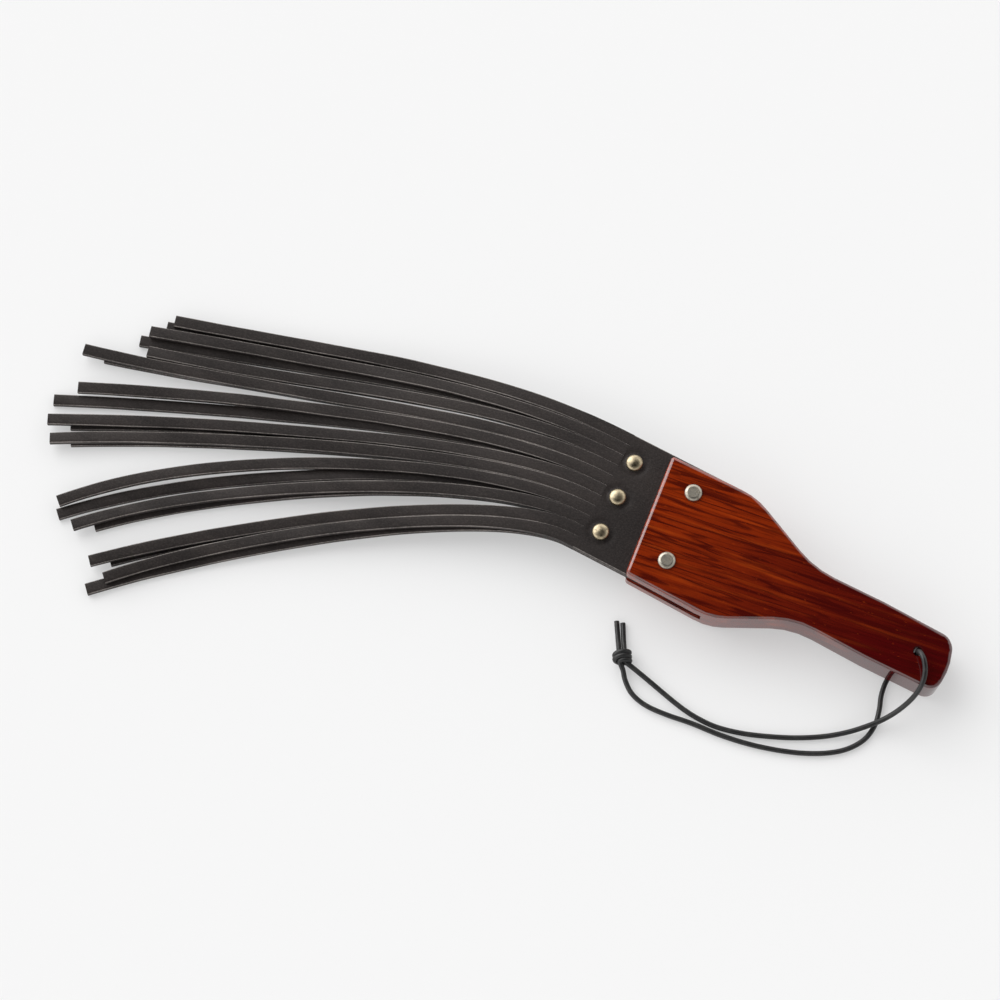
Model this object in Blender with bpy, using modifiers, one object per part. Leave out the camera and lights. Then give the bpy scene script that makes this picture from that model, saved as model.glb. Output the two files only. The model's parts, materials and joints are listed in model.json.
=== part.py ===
"""A leather fly swatter: a wooden handle, two riveted layers of slit leather and a lanyard.

+X runs along the handle towards the leather, +Y to the side that the leather curves to, +Z up.
The origin is in the middle of the handle's flat back face, on its axis.
"""

import math

import bmesh
import bpy
from mathutils import Vector

MM = 0.001

# Clearances
GAP = 0.3 * MM  # between pieces that touch
SLIT = 0.6 * MM  # between neighbouring strips
RIVET_CLEARANCE = 0.3 * MM  # radial, around a rivet in its hole

# Handle
HANDLE_L = 180 * MM
HANDLE_T = 22 * MM
HEAD_L = 51.4 * MM
HEAD_HALF_W = 36.3 * MM
HEAD_FRONT_INSET = 1.0 * MM  # the head narrows this much towards its front
SHOULDER_L = 42.5 * MM
GRIP_HALF_W = 15.4 * MM
GRIP_SWELL = 0.9 * MM
END_BULGE = 3.5 * MM
CORNER_R = 2.4 * MM
SHOULDER_R = 36 * MM
NECK_R = 50 * MM
SWELL_R = 160 * MM
END_R = 8 * MM
END_FACE_R = 36 * MM
EDGE_R = 2.0 * MM
SKEW = 0.12  # the handle is sawn this far off square, in X for each unit of Y
REST_L = 44 * MM  # the middle stretch of the faces, kept clear of rivets and lace

# Lanyard
LACE_D = 2.8 * MM
LACE_CLEARANCE = 0.9 * MM  # radial, in the handle's bore
BORE_FROM_END = 19.1 * MM
BACK_SINK_FLARE = 2.7 * MM  # how much wider the bore is at its back mouth
BACK_SINK_DEPTH = 3.2 * MM
FRONT_SINK_FLARE = 0.7 * MM
FRONT_SINK_DEPTH = 0.8 * MM

# Leather
LEATHER_T = 2.8 * MM
LEATHER_HALF_W = 36.3 * MM
LEATHER_Y = -2.0 * MM  # the leather sits this far off the handle's axis
LEATHER_REACH = 29.6 * MM  # from the head's front to the hinge line
KERF_DEPTH = 46 * MM
KERF_END_ROOM = 1.2 * MM
LANES = 11
HINGE_BACK = 1.5 * MM  # from the hinge line back to the tabs' ends
HINGE_FRONT = 3.0 * MM  # from the hinge line on to the strips' roots
LANDING_L = 192 * MM  # how far from the hinge line the strips come down to the surface
BEND_FIRST = 94 * MM  # the first lane's straight run from the hinge line
BEND_STEP = 5.2 * MM  # how much less each next lane has
STRIP_STATIONS = 16

# Rivets in the wood
WOOD_RIVET_SETBACK = 18.4 * MM  # from the head's front
WOOD_RIVET_Y = -1.0 * MM
WOOD_RIVET_HALF_PITCH = 20.4 * MM
WOOD_HEAD_R = 4.8 * MM
WOOD_HEAD_H = 2.2 * MM
WOOD_HEAD_RIM = 0.6 * MM
WOOD_HEAD_DISH = 0.5 * MM
BARREL_R = 2.6 * MM
BARREL_SHORT = 3.0 * MM  # how far the barrel stops above the back face
POST_R = 1.5 * MM
POST_SHORT = 4.0 * MM  # how far the post stops below the front face

# Rivets in the leather
LEATHER_RIVETS = 3
LEATHER_RIVET_SETBACK = 9.8 * MM  # from the hinge line
LEATHER_RIVET_PITCH = 21.8 * MM
LEATHER_RIVET_SKEW = 0.05  # the row's slant, in X for each unit of Y
CAP_R = 4.8 * MM
CAP_H = 3.0 * MM
CAP_RIM = 0.5 * MM
STUD_R = 1.4 * MM
STUD_DEPTH = 1.2 * MM  # how far a stud's post goes into its cap
STUD_HEAD_R = 4.4 * MM
STUD_HEAD_H = 2.0 * MM

TURN_STEPS = 24
ARC_STEP = 11  # degrees between points of an outline's arc
DOME_STEPS = 6

# Sizes that follow from those above
FLOOR_Z = -(GAP + LACE_D)  # the handle lies on its lace and its back rivet heads
HEAD_FRONT_X = HANDLE_L / 2
END_X = -HANDLE_L / 2
BORE_X = END_X + BORE_FROM_END
BORE_R = LACE_D / 2 + LACE_CLEARANCE
MID_Z = HANDLE_T / 2
KERF_H = 2 * LEATHER_T + 3 * GAP
KERF_END_X = HEAD_FRONT_X - KERF_DEPTH
HINGE_X = HEAD_FRONT_X + LEATHER_REACH
WOOD_RIVET_X = HEAD_FRONT_X - WOOD_RIVET_SETBACK
LEATHER_RIVET_X = HINGE_X - LEATHER_RIVET_SETBACK
LAYER_Z = (LEATHER_T + GAP) / 2  # from the kerf's middle to a layer's middle
UPPER_TOP_Z = MID_Z + LAYER_Z + LEATHER_T / 2
LOWER_BACK_Z = MID_Z - LAYER_Z - LEATHER_T / 2
LANE_PITCH = 2 * LEATHER_HALF_W / LANES
STRIP_W = LANE_PITCH - SLIT
BARREL_BORE_R = POST_R + RIVET_CLEARANCE

# Each lane's strips, the upper then the lower: the tip's place along and across, the way it points in
# degrees from the handle's axis towards +Y, and the length of its straight end. Lengths are in
# millimetres, along from the hinge line and across from the lane's root.
TIPS = (
    ((258, 56, 17, 100), (261, 60.5, 17, 100)),
    ((267, 61.4, 18, 100), (270, 68, 18, 100)),
    ((262, 65.8, 16, 100), (250, 61.8, 17, 100)),
    ((294, 75.2, 14, 95), (282, 72.7, 16, 95)),
    ((285, 89.6, 26, 100), (294, 101.6, 26, 100)),
    ((290, 107, 28, 100), (278, 103, 28, 100)),
    ((283, 109.4, 31, 100), (273, 104.4, 30, 100)),
    ((260, 131.8, 50, 105), (257, 137.8, 47, 105)),
    ((246, 133.2, 47, 100), (236, 127.2, 45, 100)),
    ((227, 139.6, 44, 100), (218, 133.6, 44, 100)),
    ((215, 137.5, 48, 100), (221, 147, 46, 110)),
)

# The lanyard's two legs, from inside the bore to the knot. Each point is the distance along and across
# from the bore's axis in millimetres, then its height above a lace that lies on the surface: a share of
# the rise to the handle's front face, and a number of lace diameters more.
FRONT_LEG = (
    (0.0, 0.0, 0.54, 0.0),
    (0.0, 0.0, 0.75, 0.0),
    (0.0, 0.0, 0.95, 0.0),
    (-0.6, 0.5, 1.0, 0.68),
    (-2.3, 2.0, 1.0, 1.5),
    (-4.7, 4.4, 1.0, 1.75),
    (-7.3, 8.2, 1.0, 1.5),
    (-9.0, 12.4, 1.0, 0.96),
    (-9.5, 17.0, 1.0, 0.07),
    (-8.9, 21.6, 0.814, 0.0),
    (-7.1, 26.2, 0.561, 0.0),
    (-4.1, 31.6, 0.333, 0.0),
    (0.3, 37.8, 0.0, 1.6),
    (5.9, 44.2, 0.0, 1.1),
    (13.5, 51.6, 0.0, 0.46),
    (23.9, 59.6, 0.0, 0.07),
    (36.9, 67.4, 0.0, 0.0),
    (51.3, 74.2, 0.0, 0.0),
    (63.9, 79.0, 0.0, 0.0),
    (76.1, 82.0, 0.0, 0.0),
    (86.5, 82.6, 0.0, 0.0),
    (96.1, 81.8, 0.0, 0.0),
    (106.5, 79.8, 0.0, 0.04),
    (120.3, 76.8, 0.0, 0.25),
    (131.5, 74.6, 0.0, 0.54),
)
BACK_LEG = (
    (0.0, 0.0, 0.53, 0.0),
    (0.0, 0.0, 0.0, 3.25),
    (0.0, 0.0, 0.0, 2.07),
    (0.4, 0.6, 0.0, 1.04),
    (1.6, 2.4, 0.0, 0.22),
    (3.3, 4.9, 0.0, 0.0),
    (5.7, 9.4, 0.0, 0.0),
    (7.3, 15.6, 0.0, 0.0),
    (6.3, 24.0, 0.0, 0.0),
    (3.7, 32.0, 0.0, 0.0),
    (2.1, 40.6, 0.0, 0.0),
    (3.5, 50.0, 0.0, 0.0),
    (8.9, 58.8, 0.0, 0.0),
    (16.9, 65.8, 0.0, 0.0),
    (28.1, 72.2, 0.0, 0.0),
    (41.5, 77.6, 0.0, 0.0),
    (56.5, 82.0, 0.0, 0.0),
    (72.5, 85.0, 0.0, 0.0),
    (88.5, 86.6, 0.0, 0.0),
    (102.5, 88.8, 0.0, 0.0),
    (114.5, 89.6, 0.0, 0.0),
    (123.9, 87.6, 0.0, 0.04),
    (130.5, 83.0, 0.0, 0.25),
    (134.3, 78.6, 0.0, 0.54),
)
LEG_STATIONS = 60
KNOT_AT = (137.9, 72.8)
KNOT_RADII = (5.6, 5.4, 3.9)
TAIL_L = 13 * MM
TAIL_TURN = -59  # degrees from +X that the tails point to
TAIL_SPREAD = 4  # degrees each way
TAIL_OFFSET = 1.7 * MM  # each way, where they leave the knot


def clear_scene():
    for obj in list(bpy.data.objects):
        bpy.data.objects.remove(obj)


def new_collection(name, hidden):
    collection = bpy.data.collections.new(name)
    bpy.context.scene.collection.children.link(collection)
    collection.hide_render = hidden
    return collection


def new_material(name, colour, roughness, metallic=0.0):
    material = bpy.data.materials.new(name)
    material.use_nodes = True
    shader = material.node_tree.nodes["Principled BSDF"]
    shader.inputs["Base Color"].default_value = (*colour, 1)
    shader.inputs["Roughness"].default_value = roughness
    shader.inputs["Metallic"].default_value = metallic
    return material


def add_part(name, data, material, location=(0, 0, 0), parent=None):
    obj = bpy.data.objects.new(name, data)
    PARTS.objects.link(obj)
    obj.location = location
    obj.parent = parent
    obj.data.materials.append(material)
    return obj


def add_cutter(name, mesh, location=(0, 0, 0)):
    obj = bpy.data.objects.new(name, mesh)
    CUTTERS.objects.link(obj)
    obj.location = location
    obj.hide_render = True
    obj.display_type = "WIRE"
    return obj


def cut(obj, cutter):
    modifier = obj.modifiers.new(cutter.name, "BOOLEAN")
    modifier.operation = "DIFFERENCE"
    modifier.solver = "EXACT"
    modifier.object = cutter


def shade_round(mesh):
    mesh.shade_smooth()
    mesh.set_sharp_from_angle(angle=math.radians(35))


def mesh_from_curve(curve, whole_caps):
    """The curve's evaluated surface as a mesh, with its caps welded on. A whole cap is one face."""
    guide = bpy.data.objects.new("outline_guide", curve)
    PARTS.objects.link(guide)
    graph = bpy.context.evaluated_depsgraph_get()
    mesh = bpy.data.meshes.new_from_object(guide.evaluated_get(graph))
    bpy.data.objects.remove(guide)
    shape = bmesh.new()
    shape.from_mesh(mesh)
    bmesh.ops.remove_doubles(shape, verts=shape.verts, dist=1e-6)
    if whole_caps:
        bmesh.ops.dissolve_limit(shape, angle_limit=math.radians(1), verts=shape.verts, edges=shape.edges)
    bmesh.ops.recalc_face_normals(shape, faces=shape.faces)
    shape.to_mesh(mesh)
    shape.free()
    return mesh


def flat_plate(outlines, thickness):
    """A plate about z = 0: the first outline is its edge, and the others are its holes."""
    curve = bpy.data.curves.new("plate_outline", "CURVE")
    curve.dimensions = "2D"
    curve.fill_mode = "BOTH"
    curve.extrude = thickness / 2
    for outline in outlines:
        spline = curve.splines.new("POLY")
        spline.points.add(len(outline) - 1)
        spline.use_cyclic_u = True
        for point, (x, y) in zip(spline.points, outline):
            point.co = (x, y, 0, 1)
    return mesh_from_curve(curve, whole_caps=len(outlines) == 1)


def score_across(mesh, places):
    """Adds an edge round a mesh at each of these places along X."""
    shape = bmesh.new()
    shape.from_mesh(mesh)
    for x in places:
        everything = shape.verts[:] + shape.edges[:] + shape.faces[:]
        bmesh.ops.bisect_plane(shape, geom=everything, plane_co=(x, 0, 0), plane_no=(1, 0, 0))
    shape.to_mesh(mesh)
    shape.free()


def circle(x, y, radius):
    turn = 2 * math.pi / TURN_STEPS
    return [(x + radius * math.cos(i * turn), y + radius * math.sin(i * turn)) for i in range(TURN_STEPS)]


def corner_arc(before, corner, after, radius):
    """The arc of this radius that rounds off a corner of an outline."""
    back = (before - corner).normalized()
    ahead = (after - corner).normalized()
    half = back.angle(ahead) / 2
    centre = corner + (back + ahead).normalized() * radius / math.sin(half)
    reach = radius / math.tan(half)
    first = corner + back * reach - centre
    last = corner + ahead * reach - centre
    start = math.atan2(first.y, first.x)
    sweep = math.remainder(math.atan2(last.y, last.x) - start, 2 * math.pi)
    steps = max(2, math.ceil(math.degrees(abs(sweep)) / ARC_STEP))
    angles = [start + sweep * i / steps for i in range(steps + 1)]
    return [(centre.x + radius * math.cos(a), centre.y + radius * math.sin(a)) for a in angles]


def rounded_outline(corners):
    """A closed outline through corners of (x, y, radius)."""
    outline = []
    for i, (x, y, radius) in enumerate(corners):
        before = Vector(corners[i - 1][:2])
        after = Vector(corners[(i + 1) % len(corners)][:2])
        outline += corner_arc(before, Vector((x, y)), after, radius)
    return outline


def skewed(outline):
    return [(x - SKEW * y, y) for x, y in outline]


def turned(name, profile):
    """A solid turned about Z. The profile of (radius, z) runs down its outer side and back up to the axis."""
    mesh = bpy.data.meshes.new(name)
    edges = [(i, i + 1) for i in range(len(profile) - 1)]
    mesh.from_pydata([(r, 0, z) for r, z in profile], edges, [])
    return mesh


def screw(obj):
    modifier = obj.modifiers.new("turn", "SCREW")
    modifier.axis = "Z"
    modifier.steps = TURN_STEPS
    modifier.render_steps = TURN_STEPS
    modifier.use_merge_vertices = True
    modifier.merge_threshold = 1e-5
    modifier.use_smooth_shade = True


def dome(radius, rim, height, first=0.0):
    """The outer side of a dome, from its top down to its rim."""
    angles = [first + (math.pi / 2 - first) * i / DOME_STEPS for i in range(DOME_STEPS + 1)]
    return [(radius * math.sin(a), rim + (height - rim) * math.cos(a)) for a in angles]


def smooth_route(points, stations):
    """Evenly spaced stations along a smooth curve through the points."""
    lying = FLOOR_Z + LACE_D / 2
    rise = HANDLE_T - lying
    knots = []
    for along, across, share, laces in points:
        knots.append(Vector((BORE_X + along * MM, across * MM, lying + share * rise + laces * LACE_D)))
    knots = [2 * knots[0] - knots[1]] + knots + [2 * knots[-1] - knots[-2]]
    fine = []
    for a, b, c, d in zip(knots, knots[1:], knots[2:], knots[3:]):
        for i in range(12):
            t = i / 12
            fine.append(
                0.5 * (2 * b + (c - a) * t + (2 * a - 5 * b + 4 * c - d) * t**2 + (3 * b - a - 3 * c + d) * t**3)
            )
    fine.append(knots[-2])
    lengths = [0.0]
    for a, b in zip(fine, fine[1:]):
        lengths.append(lengths[-1] + (b - a).length)
    route = []
    place = 0
    for i in range(stations):
        wanted = lengths[-1] * i / (stations - 1)
        while place < len(fine) - 2 and lengths[place + 1] < wanted:
            place += 1
        share = (wanted - lengths[place]) / (lengths[place + 1] - lengths[place])
        route.append(fine[place].lerp(fine[place + 1], share))
    return route


def lace(name, route):
    """A round lace along a route: a curve with a bevel and filled caps."""
    curve = bpy.data.curves.new(name, "CURVE")
    curve.dimensions = "3D"
    curve.bevel_depth = LACE_D / 2
    curve.bevel_resolution = 2
    curve.use_fill_caps = True
    spline = curve.splines.new("POLY")
    spline.points.add(len(route) - 1)
    for point, place in zip(spline.points, route):
        point.co = (*place, 1)
    return curve


def handle_outline():
    """The handle seen from above: a broad head, sloping shoulders and a narrow grip."""
    head_back = HEAD_FRONT_X - HEAD_L
    neck = head_back - SHOULDER_L
    end_corner = END_X + END_BULGE
    half = (
        (HEAD_FRONT_X, HEAD_HALF_W - HEAD_FRONT_INSET, CORNER_R),
        (head_back, HEAD_HALF_W, SHOULDER_R),
        (neck, GRIP_HALF_W, NECK_R),
        ((neck + end_corner) / 2, GRIP_HALF_W + GRIP_SWELL, SWELL_R),
        (end_corner, GRIP_HALF_W, END_R),
    )
    other = tuple((x, -y, r) for x, y, r in reversed(half))
    return skewed(rounded_outline(half + ((END_X, 0, END_FACE_R),) + other))


def wood_rivet_places():
    return skewed([(WOOD_RIVET_X, WOOD_RIVET_Y + side * WOOD_RIVET_HALF_PITCH) for side in (-1, 1)])


def leather_rivet_places():
    middle = (LEATHER_RIVETS - 1) / 2
    places = []
    for i in range(LEATHER_RIVETS):
        across = (i - middle) * LEATHER_RIVET_PITCH
        places.append((LEATHER_RIVET_X - LEATHER_RIVET_SKEW * across, LEATHER_Y + across))
    return places


def build_handle(wood):
    mesh = flat_plate([handle_outline()], HANDLE_T)
    score_across(mesh, (-REST_L / 2, REST_L / 2))
    handle = add_part("handle", mesh, wood, location=(0, 0, MID_Z))
    bevel = handle.modifiers.new("rounded_edges", "BEVEL")
    bevel.width = EDGE_R
    bevel.segments = 3
    bevel.use_clamp_overlap = False
    bevel.limit_method = "ANGLE"
    bevel.angle_limit = math.radians(50)

    reach = HEAD_HALF_W * 1.5
    front = HEAD_FRONT_X * 2
    kerf = skewed([(KERF_END_X, -reach), (front, -reach), (front, reach), (KERF_END_X, reach)])
    cut(handle, add_cutter("kerf_cutter", flat_plate([kerf], KERF_H), location=(0, 0, MID_Z)))

    for i, (x, y) in enumerate(wood_rivet_places(), 1):
        hole = flat_plate([circle(x, y, BARREL_R + RIVET_CLEARANCE)], HANDLE_T * 2)
        cut(handle, add_cutter(f"rivet_hole_cutter_{i}", hole, location=(0, 0, MID_Z)))

    sink = 1 * MM  # how far the bore's cutter stands out of the wood
    back_r = BORE_R + BACK_SINK_FLARE * (1 + sink / BACK_SINK_DEPTH)
    front_r = BORE_R + FRONT_SINK_FLARE * (1 + sink / FRONT_SINK_DEPTH)
    profile = [
        (0, HANDLE_T + sink),
        (front_r, HANDLE_T + sink),
        (BORE_R, HANDLE_T - FRONT_SINK_DEPTH),
        (BORE_R, BACK_SINK_DEPTH),
        (back_r, -sink),
        (0, -sink),
    ]
    bore = add_cutter("lanyard_bore_cutter", turned("lanyard_bore_cutter", profile), location=(BORE_X, 0, 0))
    screw(bore)
    cut(handle, bore)


def build_tabs(leather):
    """The uncut roots of the two leather layers, held in the kerf."""
    low = LEATHER_Y - LEATHER_HALF_W
    high = LEATHER_Y + LEATHER_HALF_W
    front = HINGE_X - HINGE_BACK
    back = skewed([(KERF_END_X + KERF_END_ROOM, high), (KERF_END_X + KERF_END_ROOM, low)])
    outlines = [[(front, low), (front, high), *back]]
    outlines += [circle(x, y, BARREL_R + RIVET_CLEARANCE) for x, y in wood_rivet_places()]
    outlines += [circle(x, y, STUD_R + RIVET_CLEARANCE) for x, y in leather_rivet_places()]
    for layer, side in (("upper", 1), ("lower", -1)):
        mesh = flat_plate(outlines, LEATHER_T)
        add_part(f"{layer}_leather_tab", mesh, leather, location=(0, 0, MID_Z + side * LAYER_Z))


def strip_path(lane, tip, side):
    """The middle of a strip from its root to its tip, measured from the lane's hinge point."""
    along, across, pointing, straight = tip
    heading = Vector((math.cos(math.radians(pointing)), math.sin(math.radians(pointing))))
    root = Vector((HINGE_FRONT, 0))
    end = Vector((along, across)) * MM
    bend = Vector((BEND_FIRST - lane * BEND_STEP, 0))
    run_in = end - heading * straight * MM
    fall = FLOOR_Z + LEATHER_T / 2 + LAYER_Z - MID_Z
    path = []
    for i in range(STRIP_STATIONS + 1):
        t = i / STRIP_STATIONS
        plan = root * (1 - t) ** 3 + 3 * bend * t * (1 - t) ** 2 + 3 * run_in * t**2 * (1 - t) + end * t**3
        drop = min(plan.x / LANDING_L, 1)
        path.append(Vector((plan.x, plan.y, side * LAYER_Z + fall * drop**2 * (3 - 2 * drop))))
    return path


def ribbon(name, path, width):
    """An open band of this width that lies level across the path."""
    shape = bmesh.new()
    rows = []
    for i, place in enumerate(path):
        along = path[min(i + 1, len(path) - 1)] - path[max(i - 1, 0)]
        across = Vector((-along.y, along.x, 0)).normalized() * width / 2
        rows.append((shape.verts.new(place - across), shape.verts.new(place + across)))
    for (a, b), (c, d) in zip(rows, rows[1:]):
        shape.faces.new((a, c, d, b))
    mesh = bpy.data.meshes.new(name)
    shape.to_mesh(mesh)
    shape.free()
    return mesh


def build_strips(leather):
    """The slit ends of the two layers. Each lane's upper and lower strips turn on one hinge point."""
    for lane, tips in enumerate(TIPS):
        hinge = bpy.data.objects.new(f"lash_{lane + 1:02d}_hinge", None)
        PARTS.objects.link(hinge)
        hinge.location = (HINGE_X, LEATHER_Y + (lane - (LANES - 1) / 2) * LANE_PITCH, MID_Z)
        for layer, side, tip in zip(("upper", "lower"), (1, -1), tips):
            name = f"{layer}_strip_{lane + 1:02d}"
            strip = add_part(name, ribbon(name, strip_path(lane, tip, side), STRIP_W), leather, parent=hinge)
            solid = strip.modifiers.new("thickness", "SOLIDIFY")
            solid.thickness = LEATHER_T
            solid.offset = 0
            solid.use_even_offset = True


def build_wood_rivets(metal):
    """Each is a barrel with a dished head on the front and a post with a domed head on the back."""
    barrel_end = -(HANDLE_T - BARREL_SHORT)
    post_top = HANDLE_T - POST_SHORT
    socket_top = -POST_SHORT + GAP
    crest = math.radians(38)  # where the dish meets the rounded rim
    front = [(0, WOOD_HEAD_H - WOOD_HEAD_DISH)]
    front += dome(WOOD_HEAD_R, WOOD_HEAD_RIM, WOOD_HEAD_H + WOOD_HEAD_DISH / 2, crest)
    front += [(WOOD_HEAD_R, GAP), (BARREL_R, GAP), (BARREL_R, barrel_end)]
    front += [(BARREL_BORE_R, barrel_end), (BARREL_BORE_R, socket_top), (0, socket_top)]
    back = [(0, post_top), (POST_R, post_top), (POST_R, -GAP), (WOOD_HEAD_R, -GAP)]
    back += [(r, -z - GAP) for r, z in reversed(dome(WOOD_HEAD_R, WOOD_HEAD_RIM, LACE_D))]
    for i, (x, y) in enumerate(wood_rivet_places(), 1):
        name = f"wood_rivet_barrel_{i}"
        screw(add_part(name, turned(name, front), metal, location=(x, y, HANDLE_T)))
        name = f"wood_rivet_post_{i}"
        screw(add_part(name, turned(name, back), metal, location=(x, y, 0)))


def build_leather_rivets(metal):
    """Each is a domed cap on the upper leather and a stud whose post goes up into it."""
    socket_r = STUD_R + RIVET_CLEARANCE
    socket_top = GAP + STUD_DEPTH
    base = UPPER_TOP_Z + GAP
    cap = dome(CAP_R, CAP_RIM, CAP_H)
    cap += [(CAP_R, 0), (socket_r, 0), (socket_r, socket_top), (0, socket_top)]
    stack = base - LOWER_BACK_Z  # from the leather's back to the cap's underside
    stud = [(0, stack + STUD_DEPTH), (STUD_R, stack + STUD_DEPTH), (STUD_R, -GAP), (STUD_HEAD_R, -GAP)]
    stud += [(r, -z - GAP) for r, z in reversed(dome(STUD_HEAD_R, CAP_RIM, STUD_HEAD_H))]
    for i, (x, y) in enumerate(leather_rivet_places(), 1):
        name = f"leather_rivet_cap_{i}"
        screw(add_part(name, turned(name, cap), metal, location=(x, y, base)))
        name = f"leather_rivet_stud_{i}"
        screw(add_part(name, turned(name, stud), metal, location=(x, y, LOWER_BACK_Z)))


def build_lanyard(black_lace):
    """Two legs from the handle's bore to one knot, and the two tails beyond it."""
    add_part("lanyard_front_leg", lace("lanyard_front_leg", smooth_route(FRONT_LEG, LEG_STATIONS)), black_lace)
    add_part("lanyard_back_leg", lace("lanyard_back_leg", smooth_route(BACK_LEG, LEG_STATIONS)), black_lace)

    radii = Vector(KNOT_RADII) * MM
    centre = Vector((BORE_X + KNOT_AT[0] * MM, KNOT_AT[1] * MM, FLOOR_Z + radii.z))
    shape = bmesh.new()
    bmesh.ops.create_uvsphere(shape, u_segments=16, v_segments=10, radius=1)
    bmesh.ops.scale(shape, vec=radii, verts=shape.verts)
    mesh = bpy.data.meshes.new("lanyard_knot")
    shape.to_mesh(mesh)
    shape.free()
    add_part("lanyard_knot", mesh, black_lace, location=centre)

    for i, side in enumerate((-1, 1), 1):
        pointing = math.radians(TAIL_TURN + side * TAIL_SPREAD)
        along = Vector((math.cos(pointing), math.sin(pointing), 0))
        across = Vector((-along.y, along.x, 0)) * side * TAIL_OFFSET
        level = Vector((centre.x, centre.y, FLOOR_Z + LACE_D / 2)) + across
        start = level + along * (radii.x + GAP)
        add_part(f"lanyard_tail_{i}", lace(f"lanyard_tail_{i}", [start, start + along * TAIL_L]), black_lace)


def build_swatter():
    wood = new_material("rosewood", (0.23, 0.045, 0.018), 0.25)
    leather = new_material("black_leather", (0.035, 0.03, 0.028), 0.55)
    nickel = new_material("nickel", (0.72, 0.70, 0.64), 0.3, metallic=1.0)
    antique = new_material("antique_nickel", (0.62, 0.55, 0.44), 0.32, metallic=1.0)
    black_lace = new_material("black_lace", (0.02, 0.02, 0.02), 0.5)
    build_handle(wood)
    build_tabs(leather)
    build_strips(leather)
    build_wood_rivets(nickel)
    build_leather_rivets(antique)
    build_lanyard(black_lace)
    for obj in PARTS.objects:
        if obj.type == "MESH":
            shade_round(obj.data)


clear_scene()
PARTS = new_collection("leather_fly_swatter", hidden=False)
CUTTERS = new_collection("cutters", hidden=True)
build_swatter()
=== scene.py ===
"""A leather fly swatter: glossy hardwood, black bridle leather, nickel rivets and a lace lanyard.

Each part of the swatter has its settings and an operator that makes it. The frame gives the places:
+X runs along the handle towards the leather, +Y to the side that the leather curves to, +Z up.
"""

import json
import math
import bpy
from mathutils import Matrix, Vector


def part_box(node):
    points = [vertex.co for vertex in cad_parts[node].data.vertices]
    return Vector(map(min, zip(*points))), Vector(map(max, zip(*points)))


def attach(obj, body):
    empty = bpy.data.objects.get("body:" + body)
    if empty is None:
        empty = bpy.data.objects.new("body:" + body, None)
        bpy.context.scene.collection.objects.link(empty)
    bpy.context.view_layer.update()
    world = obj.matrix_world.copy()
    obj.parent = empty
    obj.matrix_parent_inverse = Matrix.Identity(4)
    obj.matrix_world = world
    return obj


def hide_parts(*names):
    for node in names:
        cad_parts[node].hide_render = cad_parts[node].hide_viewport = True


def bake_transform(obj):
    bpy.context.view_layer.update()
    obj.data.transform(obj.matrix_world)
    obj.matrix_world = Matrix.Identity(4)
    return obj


bl_info = {
    "name": "Leather Fly Swatter",
    "version": (1, 0, 0),
    "blender": (4, 5, 0),
    "location": "3D View > Sidebar > Swatter",
    "description": "Dresses the packed fly swatter in wood, leather, nickel and lace",
    "category": "Object",
}

import bmesh
import bpy
from bpy.props import FloatProperty, FloatVectorProperty, PointerProperty
from mathutils import Vector, noise

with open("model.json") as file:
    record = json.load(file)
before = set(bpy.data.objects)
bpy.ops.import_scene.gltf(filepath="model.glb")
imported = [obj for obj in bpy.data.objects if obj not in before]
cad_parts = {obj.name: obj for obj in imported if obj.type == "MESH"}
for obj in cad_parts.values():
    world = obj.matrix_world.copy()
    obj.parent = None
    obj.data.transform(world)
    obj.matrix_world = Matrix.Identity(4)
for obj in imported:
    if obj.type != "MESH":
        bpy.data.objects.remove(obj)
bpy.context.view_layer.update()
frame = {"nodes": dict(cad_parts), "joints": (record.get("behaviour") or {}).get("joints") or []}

HELD = "held"  # the body of the handle, the tabs, the rivets and the lanyard
LANES = 11  # strips side by side in a layer

# The stage.
KEY_DIRECTION = (0.79, -0.21, 0.62)  # towards the middle of the key light
KEY_CORE = 0.1  # the share of the key light that is at its full strength
CEILING_EDGES = (0.45, 0.90)  # heights in the room between which it darkens overhead
FAR_SIDE_EDGES = (-0.9, 0.5)  # from opposite the key light to where the room is at its brightest
FLOOR_REACH = 6  # from the floor's middle to its sides
FLOOR_GAP = 0.0001  # from the floor up to the lowest leather or lace
SENSOR_WIDTH = 36  # in millimetres
CLIP_START = 0.05
WHITE = (1, 1, 1, 1)

# The wood. WAVES are how many features a noise has in a metre along X, Y and Z, or along the grain
# and across it.
GRAIN_TURN = math.radians(9)  # the grain runs this far off the handle's axis, towards +Y
STAIN_REACH = (0.00, 0.19)  # the stain turns from the grip's to the head's between these
STAIN_SLANT = -0.75  # how far it leans back for each metre across
STAIN_WANDER = 0.14
STAIN_DRIFT = (7, 40, 40)
GROWTH_WAVES = (4.2, 58, 58)
GROWTH_LEVELS = 84.0  # how closely the growth lines follow each other
STREAK_WAVES = (14, 520, 520)
PORE_WAVES = (110, 2100, 2100)
BAND_WAVES = (11, 230, 230)
BAND_REACH = (-0.03, 0.17)
BAND_WARMTH = (1.75, 2.5, 2.4)  # the warm bands' colour as a share of the head's
FLECK_WAVES = (330, 900, 900)
GRAIN_DEPTH = 0.00006
RIPPLE_WAVES = (30, 90, 90)
RIPPLE_DEPTH = 0.00003  # of the varnish

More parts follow.
